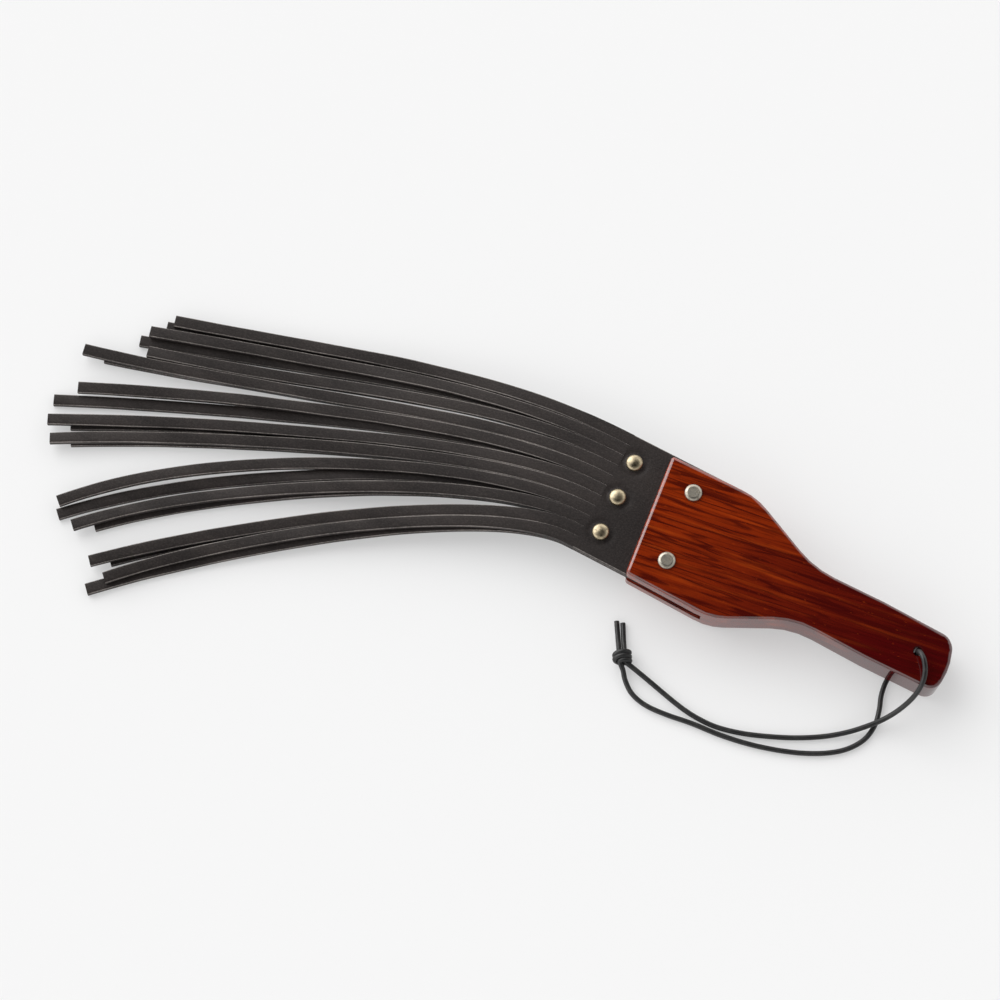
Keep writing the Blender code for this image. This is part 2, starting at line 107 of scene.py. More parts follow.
# The finish of the leather, the nickel and the lace.
PATCH_WAVES = (14, 60, 60)
SPECK_WAVES = (900, 1500, 1500)
CREASE_WAVES = (30, 520, 520)
PEBBLE_WAVES = 1500
PEBBLE_SHAPE = (0.7, 1.0, 1.0)
PEBBLE_DEPTH = 0.00022
# EDGE_SHADE gives random darker places within the painted edge highlight.
EDGE_SHADE = 0.3  # the cut edge's dark places, as a share of its colour
SIDE_LIGHT = 2.2  # the cut side's light places, as a share of its colour
FILM_WAVES = 420
FILM_ROUGHNESS = 0.2  # how much duller the tarnish is
SCRATCH_WAVES = (600, 5200, 600)
SCRATCH_DEPTH = 0.00003
LACE_PATCH_WAVES = 260
LACE_GRAIN_WAVES = 2400
LACE_GRAIN_DEPTH = 0.00012
WELD_REACH = 1e-6
CORNER_ANGLE = math.radians(38)  # edges sharper than this stay sharp
MIX_COLOURS = slice(6, 8)  # the Mix node's two colour inputs
MIX_RESULT = 2  # and its colour output
WOOD_RIVETS = (1, 2)
LEATHER_RIVETS = (1, 2, 3)

# The tabs, in metres.
TAB_SKEW = 0.12  # the tab's back edge leans this far for each metre across
TAB_COLUMNS = 96
TAB_ROWS = 44
TAB_WAVE = 0.00005
CAP_SWELL = 0.00034  # the leather comes up to meet a cap, within CAP_REACH of its middle
CAP_REACH = 0.0040
CAP_FADE = 0.0012
DIMPLE_REACH = 0.0063  # and is pressed in round it
DIMPLE_FADE = 0.0017

# The strips, in metres along from the hinge line or from the root.
MM_PER_METRE = 1000
# EDGE is a painted highlight: the pale colour on the top corners of the strips stands in for light
# catching them.
FACE, EDGE, SIDE = 0, 1, 2  # the leather's materials
STRIP_SLOTS = (SIDE, EDGE, EDGE, FACE, FACE, FACE, EDGE, EDGE, SIDE, SIDE, FACE, SIDE)
PATH_STEPS = 96
STRIP_RINGS = 84
ROOT_REACH = 0.003  # how far a strip stays straight
BEND_REACH = 0.094  # how far out the first lane's bend is, and each next lane's BEND_STEP less
BEND_STEP = 0.0052
FALL_REACH = 0.192  # the strips reach the floor by here
SLIT_START = 0.004
SLIT_REACH = 0.055
TWIST_START = 0.05
TWIST_REACH = 0.08
ROLL_LIFT = 0.8
LEAN_WIDTH = 0.00022
TRIM_SHARE = 0.05
ROOT_ROUNDING = 0.12  # the share of the edge radius at the root
EDGE_CHAMFER = 0.3
CROWN_SPAN = 0.35
CROWN_HEIGHT = 0.00005
LANE_SEED = 7.3  # each strip reads the noise in its own place
LAYER_SEED = 41.7

# The lanyard, in metres, with its tails' heading in degrees from +X.
FINE_STEPS = 12
LACE_STATIONS = 150
LACE_GAP = 0.00005
INSIDE_WOOD = 0.006
TAIL_HEADING = -59
TAIL_DIP = 0.0058
TAIL_START = 0.0082
TAIL_UNEVEN = 0.0006
KNOT_HEIGHT = 0.0043
KNOT_MOUTH = 0.0022
KNOT_LENGTH = 0.0060
KNOT_WIDTH = 0.0040
KNOT_RISE = 0.0027
KNOT_SLANT = 0.0009
KNOT_TURNS = 2.75
KNOT_PHASE = 0.6
KNOT_TUCK = 0.14

# Each lane's strips, the upper then the lower: the tip's place along and across, the way it points
# in degrees from the handle's axis towards +Y, and the length of its straight end. Lengths are in
# millimetres, along from the hinge line and across from the lane's root.
TIPS = (
    ((258, 56, 17, 100), (261, 60.5, 17, 100)),
    ((267, 61.4, 18, 100), (270, 68, 18, 100)),
    ((262, 65.8, 16, 100), (250, 61.8, 17, 100)),
    ((294, 75.2, 14, 95), (282, 72.7, 16, 95)),
    ((285, 89.6, 26, 100), (294, 101.6, 26, 100)),
    ((290, 107, 28, 100), (278, 103, 28, 100)),
    ((283, 109.4, 31, 100), (273, 104.4, 30, 100)),
    ((260, 131.8, 50, 105), (257, 137.8, 47, 105)),
    ((246, 133.2, 47, 100), (236, 127.2, 45, 100)),
    ((227, 139.6, 44, 100), (218, 133.6, 44, 100)),
    ((215, 137.5, 48, 100), (221, 147, 46, 110)),
)

# The lanyard's legs in metres, from inside the bore to the knot: along and across from the bore's
# axis, then up from the swatter's back face.
FRONT_LEG = (
    (0.0, 0.0, 0.0111),
    (0.0, 0.0, 0.0161),
    (0.0, 0.0, 0.0208),
    (-0.0006, 0.0005, 0.0239),
    (-0.0023, 0.0020, 0.0262),
    (-0.0047, 0.0044, 0.0269),
    (-0.0073, 0.0082, 0.0262),
    (-0.0090, 0.0124, 0.0247),
    (-0.0095, 0.0170, 0.0222),
    (-0.0089, 0.0216, 0.0176),
    (-0.0071, 0.0262, 0.0116),
    (-0.0041, 0.0316, 0.0062),
    (0.0003, 0.0378, 0.0028),
    (0.0059, 0.0442, 0.0014),
    (0.0135, 0.0516, -0.0004),
    (0.0239, 0.0596, -0.0015),
    (0.0369, 0.0674, -0.0017),
    (0.0513, 0.0742, -0.0017),
    (0.0639, 0.0790, -0.0017),
    (0.0761, 0.0820, -0.0017),
    (0.0865, 0.0826, -0.0017),
    (0.0961, 0.0818, -0.0017),
    (0.1065, 0.0798, -0.0016),
    (0.1203, 0.0768, -0.0010),
    (0.1315, 0.0746, -0.0002),
)
BACK_LEG = (
    (0.0, 0.0, 0.0109),
    (0.0, 0.0, 0.0074),
    (0.0, 0.0, 0.0041),
    (0.0004, 0.0006, 0.0012),
    (0.0016, 0.0024, -0.0011),
    (0.0033, 0.0049, -0.0017),
    (0.0057, 0.0094, -0.0017),
    (0.0073, 0.0156, -0.0017),
    (0.0063, 0.0240, -0.0017),
    (0.0037, 0.0320, -0.0017),
    (0.0021, 0.0406, -0.0017),
    (0.0035, 0.0500, -0.0017),
    (0.0089, 0.0588, -0.0017),
    (0.0169, 0.0658, -0.0017),
    (0.0281, 0.0722, -0.0017),
    (0.0415, 0.0776, -0.0017),
    (0.0565, 0.0820, -0.0017),
    (0.0725, 0.0850, -0.0017),
    (0.0885, 0.0866, -0.0017),
    (0.1025, 0.0888, -0.0017),
    (0.1145, 0.0896, -0.0017),
    (0.1239, 0.0876, -0.0016),
    (0.1305, 0.0830, -0.0010),
    (0.1343, 0.0786, -0.0002),
)


# ---------------------------------------------------------------- settings


class StageSettings(bpy.types.PropertyGroup):
    aim: FloatVectorProperty(
        name="Aim",
        description="The point that the camera looks at",
        default=(0.1659, 0.0287, 0.010),
        subtype="XYZ",
    )
    distance: FloatProperty(
        name="Distance", description="From the aim to the camera", default=1.4, unit="LENGTH"
    )
    elevation: FloatProperty(
        name="Elevation",
        description="The camera's height above the floor",
        default=math.radians(72),
        subtype="ANGLE",
    )
    turn: FloatProperty(
        name="Turn",
        description="How far the camera stands off square",
        default=math.radians(28.6),
        subtype="ANGLE",
    )
    lens: FloatProperty(name="Lens", description="Focal length in millimetres", default=92.48)
    floor_colour: FloatVectorProperty(
        name="Floor",
        description="The floor's pale colour",
        default=(0.5, 0.5, 0.5),
        subtype="COLOR",
    )
    floor_glow: FloatProperty(
        name="Floor glow", description="Light that comes through the floor", default=0.375
    )
    key_light: FloatProperty(
        name="Key light", description="Strength of the big soft key light", default=2.6
    )
    key_spread: FloatProperty(
        name="Key spread",
        description="From the key light's middle to its edge",
        default=math.radians(42),
        subtype="ANGLE",
    )
    room_light: FloatProperty(
        name="Room light", description="Strength of the light from all round", default=1.75
    )
    far_side: FloatProperty(
        name="Far side",
        description="The share of the room light that comes from opposite the key light",
        default=0.35,
    )
    ceiling: FloatProperty(
        name="Ceiling", description="Strength of the light from overhead", default=0.015
    )


class HandleSettings(bpy.types.PropertyGroup):
    head_colour: FloatVectorProperty(
        name="Head stain",
        description="The wood's colour at the head",
        default=(0.235, 0.0225, 0.002),
        subtype="COLOR",
    )
    grip_colour: FloatVectorProperty(
        name="Grip stain",
        description="The wood's colour at the grip",
        default=(0.060, 0.0012, 0.0014),
        subtype="COLOR",
    )
    figure_colour: FloatVectorProperty(
        name="Figure",
        description="The dark growth lines",
        default=(0.040, 0.0012, 0.0010),
        subtype="COLOR",
    )
    varnish_roughness: FloatProperty(
        name="Varnish roughness", description="How dull the varnish is", default=0.04
    )
    varnish_ior: FloatProperty(
        name="Varnish IOR", description="Refractive index of the varnish", default=1.8
    )


class LeatherSettings(bpy.types.PropertyGroup):
    face_colour: FloatVectorProperty(
        name="Face",
        description="The dyed grain side",
        default=(0.0125, 0.0095, 0.0088),
        subtype="COLOR",
    )
    worn_colour: FloatVectorProperty(
        name="Worn face",
        description="Rubbed patches of the grain",
        default=(0.036, 0.029, 0.0265),
        subtype="COLOR",
    )
    # Painted highlight: this pale colour on the leather's corners stands in for light catching
    # those edges.
    edge_highlight_colour: FloatVectorProperty(
        name="Cut edge",
        description="The pale corners along each cut",
        default=(0.30, 0.27, 0.25),
        subtype="COLOR",
    )
    side_colour: FloatVectorProperty(
        name="Cut side",
        description="The dyed sides of each cut",
        default=(0.026, 0.022, 0.021),
        subtype="COLOR",
    )
    strip_width: FloatProperty(
        name="Strip width",
        description="A strip's width once its slit has opened",
        default=0.0065,
        unit="LENGTH",
    )
    root_slit: FloatProperty(
        name="Root slit",
        description="The slit's width where it starts",
        default=0.00006,
        unit="LENGTH",
    )
    edge_radius: FloatProperty(
        name="Edge radius", description="Rounding along the cuts", default=0.00042, unit="LENGTH"
    )
    twist: FloatProperty(
        name="Twist",
        description="How far the strips roll",
        default=math.radians(7),
        subtype="ANGLE",
    )
    dimple: FloatProperty(
        name="Dimple",
        description="How deep the rivets press the leather",
        default=0.00045,
        unit="LENGTH",
    )


class RivetSettings(bpy.types.PropertyGroup):
    wood_rivet_colour: FloatVectorProperty(
        name="Wood rivets",
        description="Bright nickel",
        default=(0.38, 0.35, 0.295),
        subtype="COLOR",
    )
    leather_rivet_colour: FloatVectorProperty(
        name="Leather rivets",
        description="Antique nickel",
        default=(0.40, 0.335, 0.225),
        subtype="COLOR",
    )
    tarnish_colour: FloatVectorProperty(
        name="Tarnish",
        description="Dull film in patches",
        default=(0.15, 0.125, 0.085),
        subtype="COLOR",
    )


class LanyardSettings(bpy.types.PropertyGroup):
    diameter: FloatProperty(
        name="Lace", description="The lace's diameter", default=0.0028, unit="LENGTH"
    )
    tail: FloatProperty(
        name="Tails", description="Length beyond the knot", default=0.0135, unit="LENGTH"
    )
    colour: FloatVectorProperty(
        name="Colour", description="Black lace", default=(0.006, 0.006, 0.0062), subtype="COLOR"
    )
    worn_colour: FloatVectorProperty(
        name="Worn colour",
        description="Where the lace is rubbed",
        default=(0.020, 0.0185, 0.017),
        subtype="COLOR",
    )


# ---------------------------------------------------------------- materials


def new_shader(name):
    """A new material, its node tree, its Principled shader and its object coordinates."""
    material = bpy.data.materials.new(name)
    material.use_nodes = True
    tree = material.node_tree
    coordinates = tree.nodes.new("ShaderNodeTexCoord")
    return material, tree, tree.nodes["Principled BSDF"], coordinates.outputs["Object"]


def stretched(tree, coordinates, scale):
    mapping = tree.nodes.new("ShaderNodeMapping")
    mapping.inputs["Scale"].default_value = scale
    tree.links.new(coordinates, mapping.inputs["Vector"])
    return mapping.outputs["Vector"]


def noise_of(tree, vector, scale, detail, roughness=0.55):
    texture = tree.nodes.new("ShaderNodeTexNoise")
    texture.inputs["Scale"].default_value = scale
    texture.inputs["Detail"].default_value = detail
    texture.inputs["Roughness"].default_value = roughness
    tree.links.new(vector, texture.inputs["Vector"])
    return texture.outputs["Fac"]


def drawn_noise(tree, place, waves, detail, roughness=0.55):
    """A noise with its own number of waves a metre along each axis."""
    return noise_of(tree, stretched(tree, place, waves), 1.0, detail, roughness)


def ramp_of(tree, value, low, high, start=0.0, end=1.0):
    """The value brought from low..high to start..end, smoothly and clamped."""
    ramp = tree.nodes.new("ShaderNodeMapRange")
    ramp.interpolation_type = "SMOOTHSTEP"
    ramp.inputs["From Min"].default_value = low
    ramp.inputs["From Max"].default_value = high
    ramp.inputs["To Min"].default_value = start
    ramp.inputs["To Max"].default_value = end
    tree.links.new(value, ramp.inputs["Value"])
    return ramp.outputs["Result"]


def mixed(tree, share, first, second):
    """A colour between first and second, each a colour or a socket."""
    mix = tree.nodes.new("ShaderNodeMix")
    mix.data_type = "RGBA"
    tree.links.new(share, mix.inputs["Factor"])
    for socket, colour in zip(mix.inputs[MIX_COLOURS], (first, second)):
        if isinstance(colour, bpy.types.NodeSocket):
            tree.links.new(colour, socket)
        else:
            socket.default_value = (*colour, 1)
    return mix.outputs[MIX_RESULT]


def combined(tree, operation, first, second=0.0):
    """A sum on one or two values, each a number or a socket."""
    node = tree.nodes.new("ShaderNodeMath")
    node.operation = operation
    for socket, value in zip(node.inputs, (first, second)):
        if isinstance(value, bpy.types.NodeSocket):
            tree.links.new(value, socket)
        else:
            socket.default_value = value
    return node.outputs[0]


def bump_into(tree, shader, height, distance, strength=1.0, normal="Normal"):
    bump = tree.nodes.new("ShaderNodeBump")
    bump.inputs["Distance"].default_value = distance
    bump.inputs["Strength"].default_value = strength
    tree.links.new(height, bump.inputs["Height"])
    tree.links.new(bump.outputs["Normal"], shader.inputs[normal])


def varnished_wood(settings):
    """Red-brown hardwood, dark growth lines along the grain, under a thick clear varnish."""
    material, tree, shader, place = new_shader("varnished rosewood")
    parts = tree.nodes.new("ShaderNodeSeparateXYZ")
    tree.links.new(place, parts.inputs["Vector"])
    turned = tree.nodes.new("ShaderNodeMapping")
    turned.inputs["Rotation"].default_value[2] = -GRAIN_TURN
    tree.links.new(place, turned.inputs["Vector"])
    grain = turned.outputs["Vector"]

    # The stain darkens from the head's front to the grip, and towards the head's +Y side.
    drift = drawn_noise(tree, grain, STAIN_DRIFT, 3)
    reach = combined(tree, "MULTIPLY", parts.outputs["Y"], STAIN_SLANT)
    reach = combined(tree, "ADD", parts.outputs["X"], reach)
    reach = combined(tree, "ADD", reach, combined(tree, "MULTIPLY", drift, STAIN_WANDER))
    head = ramp_of(tree, reach, *STAIN_REACH)
    stain = mixed(tree, head, settings.grip_colour, settings.head_colour)

    # The growth lines follow the levels of a slow noise, then come fine streaks and pores.
    growth = drawn_noise(tree, grain, GROWTH_WAVES, 3, 0.52)
    wave = combined(tree, "SINE", combined(tree, "MULTIPLY", growth, GROWTH_LEVELS))
    lines = ramp_of(tree, wave, 0.2, 0.98, 0.0, 0.85)
    streaks = drawn_noise(tree, grain, STREAK_WAVES, 4, 0.65)
    lines = combined(tree, "MULTIPLY", lines, ramp_of(tree, streaks, 0.3, 0.6, 0.25, 1.0))
    streaks = ramp_of(tree, streaks, 0.48, 0.68, 0.0, 0.85)
    pores = ramp_of(tree, drawn_noise(tree, grain, PORE_WAVES, 2), 0.58, 0.68, 0.0, 0.45)
    dark = combined(tree, "MAXIMUM", combined(tree, "MAXIMUM", lines, streaks), pores)
    colour = mixed(tree, dark, stain, settings.figure_colour)

    # Warm bands lie between the lines, strongest at the head, with a few pale flecks.
    bands = drawn_noise(tree, grain, BAND_WAVES, 4, 0.6)
    bands = ramp_of(tree, bands, 0.52, 0.74, 0.0, 0.75)
    bands = combined(tree, "MULTIPLY", bands, ramp_of(tree, reach, *BAND_REACH, 0.1, 1.0))
    flecks = drawn_noise(tree, grain, FLECK_WAVES, 1)
    bands = combined(tree, "MAXIMUM", bands, ramp_of(tree, flecks, 0.70, 0.76, 0.0, 0.2))
    warm = tuple(min(1, c * f) for c, f in zip(settings.head_colour, BAND_WARMTH))
    tree.links.new(mixed(tree, bands, colour, warm), shader.inputs["Base Color"])

    shader.inputs["Roughness"].default_value = 0.5
    shader.inputs["Specular IOR Level"].default_value = 0.0
    shader.inputs["Coat Weight"].default_value = 1.0
    shader.inputs["Coat Roughness"].default_value = settings.varnish_roughness
    shader.inputs["Coat IOR"].default_value = settings.varnish_ior
    bump_into(tree, shader, dark, GRAIN_DEPTH)
    ripple = drawn_noise(tree, place, RIPPLE_WAVES, 3)
    bump_into(tree, shader, ripple, RIPPLE_DEPTH, normal="Coat Normal")
    return material


def bridle_leather(name, dyed, rubbed):
    """Dyed leather: fine grain, faint long creases and rubbed patches."""
    material, tree, shader, place = new_shader(name)
    patches = drawn_noise(tree, place, PATCH_WAVES, 4)
    specks = drawn_noise(tree, place, SPECK_WAVES, 3, 0.7)
    share = combined(tree, "MULTIPLY", ramp_of(tree, patches, 0.35, 0.68), 0.5)
    share = combined(tree, "ADD", share, ramp_of(tree, specks, 0.42, 0.68, 0.0, 0.6))
    # In the edge material these two colours are a painted highlight and its darker places.
    tree.links.new(mixed(tree, share, dyed, rubbed), shader.inputs["Base Color"])
    tree.links.new(ramp_of(tree, patches, 0.3, 0.75, 0.62, 0.44), shader.inputs["Roughness"])
    shader.inputs["Specular IOR Level"].default_value = 0.2
    pebbles = tree.nodes.new("ShaderNodeTexVoronoi")
    pebbles.inputs["Scale"].default_value = PEBBLE_WAVES
    tree.links.new(stretched(tree, place, PEBBLE_SHAPE), pebbles.inputs["Vector"])
    height = combined(tree, "MULTIPLY", pebbles.outputs["Distance"], 0.6)
    height = combined(tree, "ADD", height, drawn_noise(tree, place, CREASE_WAVES, 3))
    bump_into(tree, shader, height, PEBBLE_DEPTH, 0.8)
    return material


def nickel(name, colour, tarnish, roughness):
    """Plated metal with a dull film in patches and fine scratches."""
    material, tree, shader, place = new_shader(name)
    film = noise_of(tree, place, FILM_WAVES, 4)
    dull = ramp_of(tree, film, 0.46, 0.74, 0.0, 0.7)
    tree.links.new(mixed(tree, dull, colour, tarnish), shader.inputs["Base Color"])
    shader.inputs["Metallic"].default_value = 1.0
    filmed = ramp_of(tree, film, 0.35, 0.75, roughness, roughness + FILM_ROUGHNESS)
    tree.links.new(filmed, shader.inputs["Roughness"])
    bump_into(tree, shader, drawn_noise(tree, place, SCRATCH_WAVES, 2), SCRATCH_DEPTH, 0.6)
    return material


def black_lace(settings):
    """Round leather lace: satin black with a fine grain."""
    material, tree, shader, place = new_shader("black lace")
    rubbed = noise_of(tree, place, LACE_PATCH_WAVES, 4)
    share = ramp_of(tree, rubbed, 0.45, 0.75)
    colour = mixed(tree, share, settings.colour, settings.worn_colour)
    tree.links.new(colour, shader.inputs["Base Color"])
    tree.links.new(ramp_of(tree, rubbed, 0.3, 0.7, 0.34, 0.5), shader.inputs["Roughness"])
    bump_into(tree, shader, noise_of(tree, place, LACE_GRAIN_WAVES, 2), LACE_GRAIN_DEPTH, 0.7)
    return material


def dress(node, material):
    """Gives a CAD node a material and smooth shading that keeps its flats flat."""
    obj = frame["nodes"][node]
    obj.data.materials.clear()
    obj.data.materials.append(material)
    obj.data.polygons.foreach_set("material_index", [0] * len(obj.data.polygons))
    obj.data.shade_smooth()
    weld = obj.modifiers.new("weld", "WELD")
    weld.merge_threshold = WELD_REACH
    split = obj.modifiers.new("corners", "EDGE_SPLIT")
    split.split_angle = CORNER_ANGLE
    weighted = obj.modifiers.new("flats", "WEIGHTED_NORMAL")
    weighted.keep_sharp = True


# ---------------------------------------------------------------- shapes


def facing(degrees):
    """The level direction this many degrees from +X towards +Y."""
    return Vector((math.cos(math.radians(degrees)), math.sin(math.radians(degrees)), 0))


def smooth_route(points, stations):
    """Evenly spaced stations along a smooth curve through the points."""
    knots = [Vector(p) for p in points]
    knots = [2 * knots[0] - knots[1]] + knots + [2 * knots[-1] - knots[-2]]
    fine = []
    for a, b, c, d in zip(knots, knots[1:], knots[2:], knots[3:]):
        for i in range(FINE_STEPS):
            t = i / FINE_STEPS
            square = 2 * a - 5 * b + 4 * c - d
            cube = 3 * b - a - 3 * c + d
            fine.append(0.5 * (2 * b + (c - a) * t + square * t**2 + cube * t**3))
    fine.append(knots[-2])
    return even(fine, stations)


def even(fine, stations):
    """The same line as fine, cut at evenly spaced stations."""
    lengths = [0.0]
    for a, b in zip(fine, fine[1:]):
        lengths.append(lengths[-1] + (b - a).length)
    route = []
    place = 0
    for i in range(stations):
        wanted = lengths[-1] * i / (stations - 1)
        while place < len(fine) - 2 and lengths[place + 1] < wanted:
            place += 1
        share = (wanted - lengths[place]) / (lengths[place + 1] - lengths[place])
        route.append(fine[place].lerp(fine[place + 1], share))
    return route


def length_of(route):
    return sum((b - a).length for a, b in zip(route, route[1:]))


def ease(t):
    """0 up to t = 0, 1 from t = 1, smooth between."""
    t = min(max(t, 0.0), 1.0)
    return t * t * (3 - 2 * t)


def lace_curve(name, route, radius, material):
    curve = bpy.data.curves.new(name, "CURVE")
    curve.dimensions = "3D"
    curve.bevel_depth = radius
    curve.bevel_resolution = 5
    curve.use_fill_caps = True
    spline = curve.splines.new("POLY")
    spline.points.add(len(route) - 1)
    for point, place in zip(spline.points, route):
        point.co = (*place, 1)
    curve.materials.append(material)
    obj = bpy.data.objects.new(name, curve)
    bpy.context.scene.collection.objects.link(obj)
    return obj


def lofted(name, rings, materials, face_slots):
    """A closed body through equal rings of points. face_slots gives each side face's material."""
    shape = bmesh.new()
    rows = [[shape.verts.new(p) for p in ring] for ring in rings]
    count = len(rings[0])
    for low, high in zip(rows, rows[1:]):
        for i in range(count):
            j = (i + 1) % count
            face = shape.faces.new((low[i], low[j], high[j], high[i]))
            face.material_index = face_slots[i]
            face.smooth = True
    for ring in (list(reversed(rows[0])), rows[-1]):
        cap = shape.faces.new(ring)
        cap.material_index = face_slots[-1]
        for edge in cap.edges:
            edge.smooth = False
    bmesh.ops.recalc_face_normals(shape, faces=shape.faces)
    mesh = bpy.data.meshes.new(name)
    shape.to_mesh(mesh)
    shape.free()
    for material in materials:
        mesh.materials.append(material)
    obj = bpy.data.objects.new(name, mesh)
    bpy.context.scene.collection.objects.link(obj)
    return obj


def leather_facts():
    """The leather's sizes, from the frame's tabs and its first hinge."""
    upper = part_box("upper_leather_tab")
    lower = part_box("lower_leather_tab")
    hinge = next(j for j in frame["joints"] if j["child"] == "lash_01")["pos_m"]
    width = upper[1].y - upper[0].y
    return {
        "thickness": upper[1].z - upper[0].z,
        "upper_z": (upper[0].z + upper[1].z) / 2,
        "lower_z": (lower[0].z + lower[1].z) / 2,
        "low_y": upper[0].y,
        "high_y": upper[1].y,
        "back": upper[0].x,
        "front": upper[1].x,
        "hinge_x": hinge[0],
        "mid_z": hinge[2],
        "pitch": width / LANES,
        "floor": min(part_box("lower_strip_01")[0].z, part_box("lanyard_back_leg")[0].z),
    }


def lane_middle(lane, facts):
    return facts["low_y"] + (lane + 0.5) * facts["pitch"]


def strip_path(lane, tip, layer_z, facts):
    """A strip's middle line, from the tab's front to its tip, which lies on the floor."""
    along, across, pointing, straight = tip
    root = Vector((ROOT_REACH, 0))
    end = Vector((along, across)) / MM_PER_METRE
    bend = Vector((BEND_REACH - lane * BEND_STEP, 0))
    run_in = end - facing(pointing).xy * straight / MM_PER_METRE
    lane_y = lane_middle(lane, facts)
    rise = layer_z - facts["mid_z"]
    spread = (facts["upper_z"] - facts["lower_z"]) / 2
    fall = facts["floor"] + facts["thickness"] / 2 + spread - facts["mid_z"]
    path = []
    for i in range(PATH_STEPS + 1):
        t = i / PATH_STEPS
        plan = root * (1 - t) ** 3 + 3 * bend * t * (1 - t) ** 2
        plan = plan + 3 * run_in * t**2 * (1 - t) + end * t**3
        drop = min(plan.x / FALL_REACH, 1)
        place = Vector((plan.x, plan.y, rise + fall * drop**2 * (3 - 2 * drop)))
        path.append(place + Vector((facts["hinge_x"], lane_y, facts["mid_z"])))
    back = Vector((facts["front"], lane_y, layer_z))
    return [back, back.lerp(path[0], 0.5)] + path


def strip_ring(place, along, width, thickness, radius, roll, crown):
    """Twelve points round a rounded bar, with a slight crown on its grain side."""
    across = Vector((-along.y, along.x, 0)).normalized()
    up = along.cross(across).normalized()
    turned_across = across * math.cos(roll) + up * math.sin(roll)
    turned_up = up * math.cos(roll) - across * math.sin(roll)
    a = width / 2
    b = thickness / 2
    k = EDGE_CHAMFER * radius
    profile = (
        (-a, -b + radius),
        (-a, b - radius),
        (-a + k, b - k),
        (-a + radius, b),
        (-a * CROWN_SPAN, b + crown),
        (a * CROWN_SPAN, b + crown),
        (a - radius, b),
        (a - k, b - k),
        (a, b - radius),
        (a, -b + radius),
        (a - radius, -b),
        (-a + radius, -b),
    )
    return [place + turned_across * x + turned_up * z for x, z in profile]


def make_strip(lane, layer, tip, layer_z, facts, settings, materials):
    """One strip, lofted along its path. Its slits open slowly from the root."""
    path = even(strip_path(lane, tip, layer_z, facts), STRIP_RINGS)
    total = length_of(path)
    seed = lane * LANE_SEED + layer * LAYER_SEED
    rings = []
    for i, place in enumerate(path):
        along = (path[min(i + 1, len(path) - 1)] - path[max(i - 1, 0)]).normalized()
        gone = total * i / (len(path) - 1)
        opened = ease((gone - SLIT_START) / SLIT_REACH)
        width = (facts["pitch"] - settings.root_slit) * (1 - opened)
        width = width + settings.strip_width * opened
        wander = noise.noise(Vector((gone * 11, seed, 0.0)))
        lean = noise.noise(Vector((gone * 15, seed, 9.0)))
        roll = settings.twist * 2.0 * wander * ease((gone - TWIST_START) / TWIST_REACH)
        trim = 1 - TRIM_SHARE * noise.noise(Vector((gone * 40, seed, 4.0)))
        shift = Vector((-along.y, along.x, 0)) * LEAN_WIDTH * lean * opened
        lift = Vector((0, 0, 0.5 * settings.strip_width * abs(math.sin(roll)) * ROLL_LIFT))
        radius = settings.edge_radius * (ROOT_ROUNDING + (1 - ROOT_ROUNDING) * opened)
        width *= trim if opened > 0.5 else 1
        middle = place + shift + lift
        crown = CROWN_HEIGHT * opened
        rings.append(strip_ring(middle, along, width, facts["thickness"], radius, roll, crown))
    name = f"{'lower' if layer else 'upper'}_strip_{lane + 1:02d}_leather"
    return lofted(name, rings, materials, STRIP_SLOTS)


def make_tab(name, layer_z, side, facts, rivets, settings, materials):
    """The uncut root of a layer: one sheet, pressed in round the rivets on its outer face."""
    thickness = facts["thickness"] / 2
    back = facts["back"] + TAB_SKEW * facts["high_y"]
    radius = settings.edge_radius
    low = facts["low_y"]
    span = facts["high_y"] - low
    ys = [low + span * i / TAB_COLUMNS for i in range(TAB_COLUMNS + 1)]

    def outer(x, y):
        height = 0.0
        for place in rivets:
            away = math.hypot(x - place.x, y - place.y)
            height += CAP_SWELL * (1 - ease((away - CAP_REACH) / CAP_FADE))
            height -= settings.dimple * math.exp(-(((away - DIMPLE_REACH) / DIMPLE_FADE) ** 2))
        height += TAB_WAVE * noise.noise(Vector((x * 60, y * 120, layer_z * 90)))
        return height

    def along(y, step):
        return (back - TAB_SKEW * y) * (1 - step) + facts["front"] * step

    rings = []
    steps = [0.0, 0.2, 0.4, 0.5] + [0.5 + 0.5 * i / TAB_ROWS for i in range(1, TAB_ROWS + 1)]
    for step in steps:
        ring = []
        for i, y in enumerate(ys):
            x = along(y, step)
            inset = radius if i in (0, TAB_COLUMNS) else 0.0
            place_y = min(max(y, low + inset), low + span - inset)
            ring.append((x, place_y, layer_z + side * (thickness + outer(x, y))))
        x_high = along(ys[-1], step)
        x_low = along(ys[0], step)
        top = layer_z + side * (thickness - radius)
        bottom = layer_z - side * thickness
        ring += [
            (x_high, low + span, top),
            (x_high, low + span, bottom + side * radius),
            (x_high, low + span - radius, bottom),
            (x_low, low + radius, bottom),
            (x_low, low, bottom + side * radius),
            (x_low, low, top),
        ]
        rings.append(ring)
    # The tab's corners take EDGE, the painted highlight.
    slots = [FACE] * TAB_COLUMNS + [EDGE, SIDE, EDGE, FACE, EDGE, SIDE, EDGE]
    return lofted(name, rings, materials, slots)


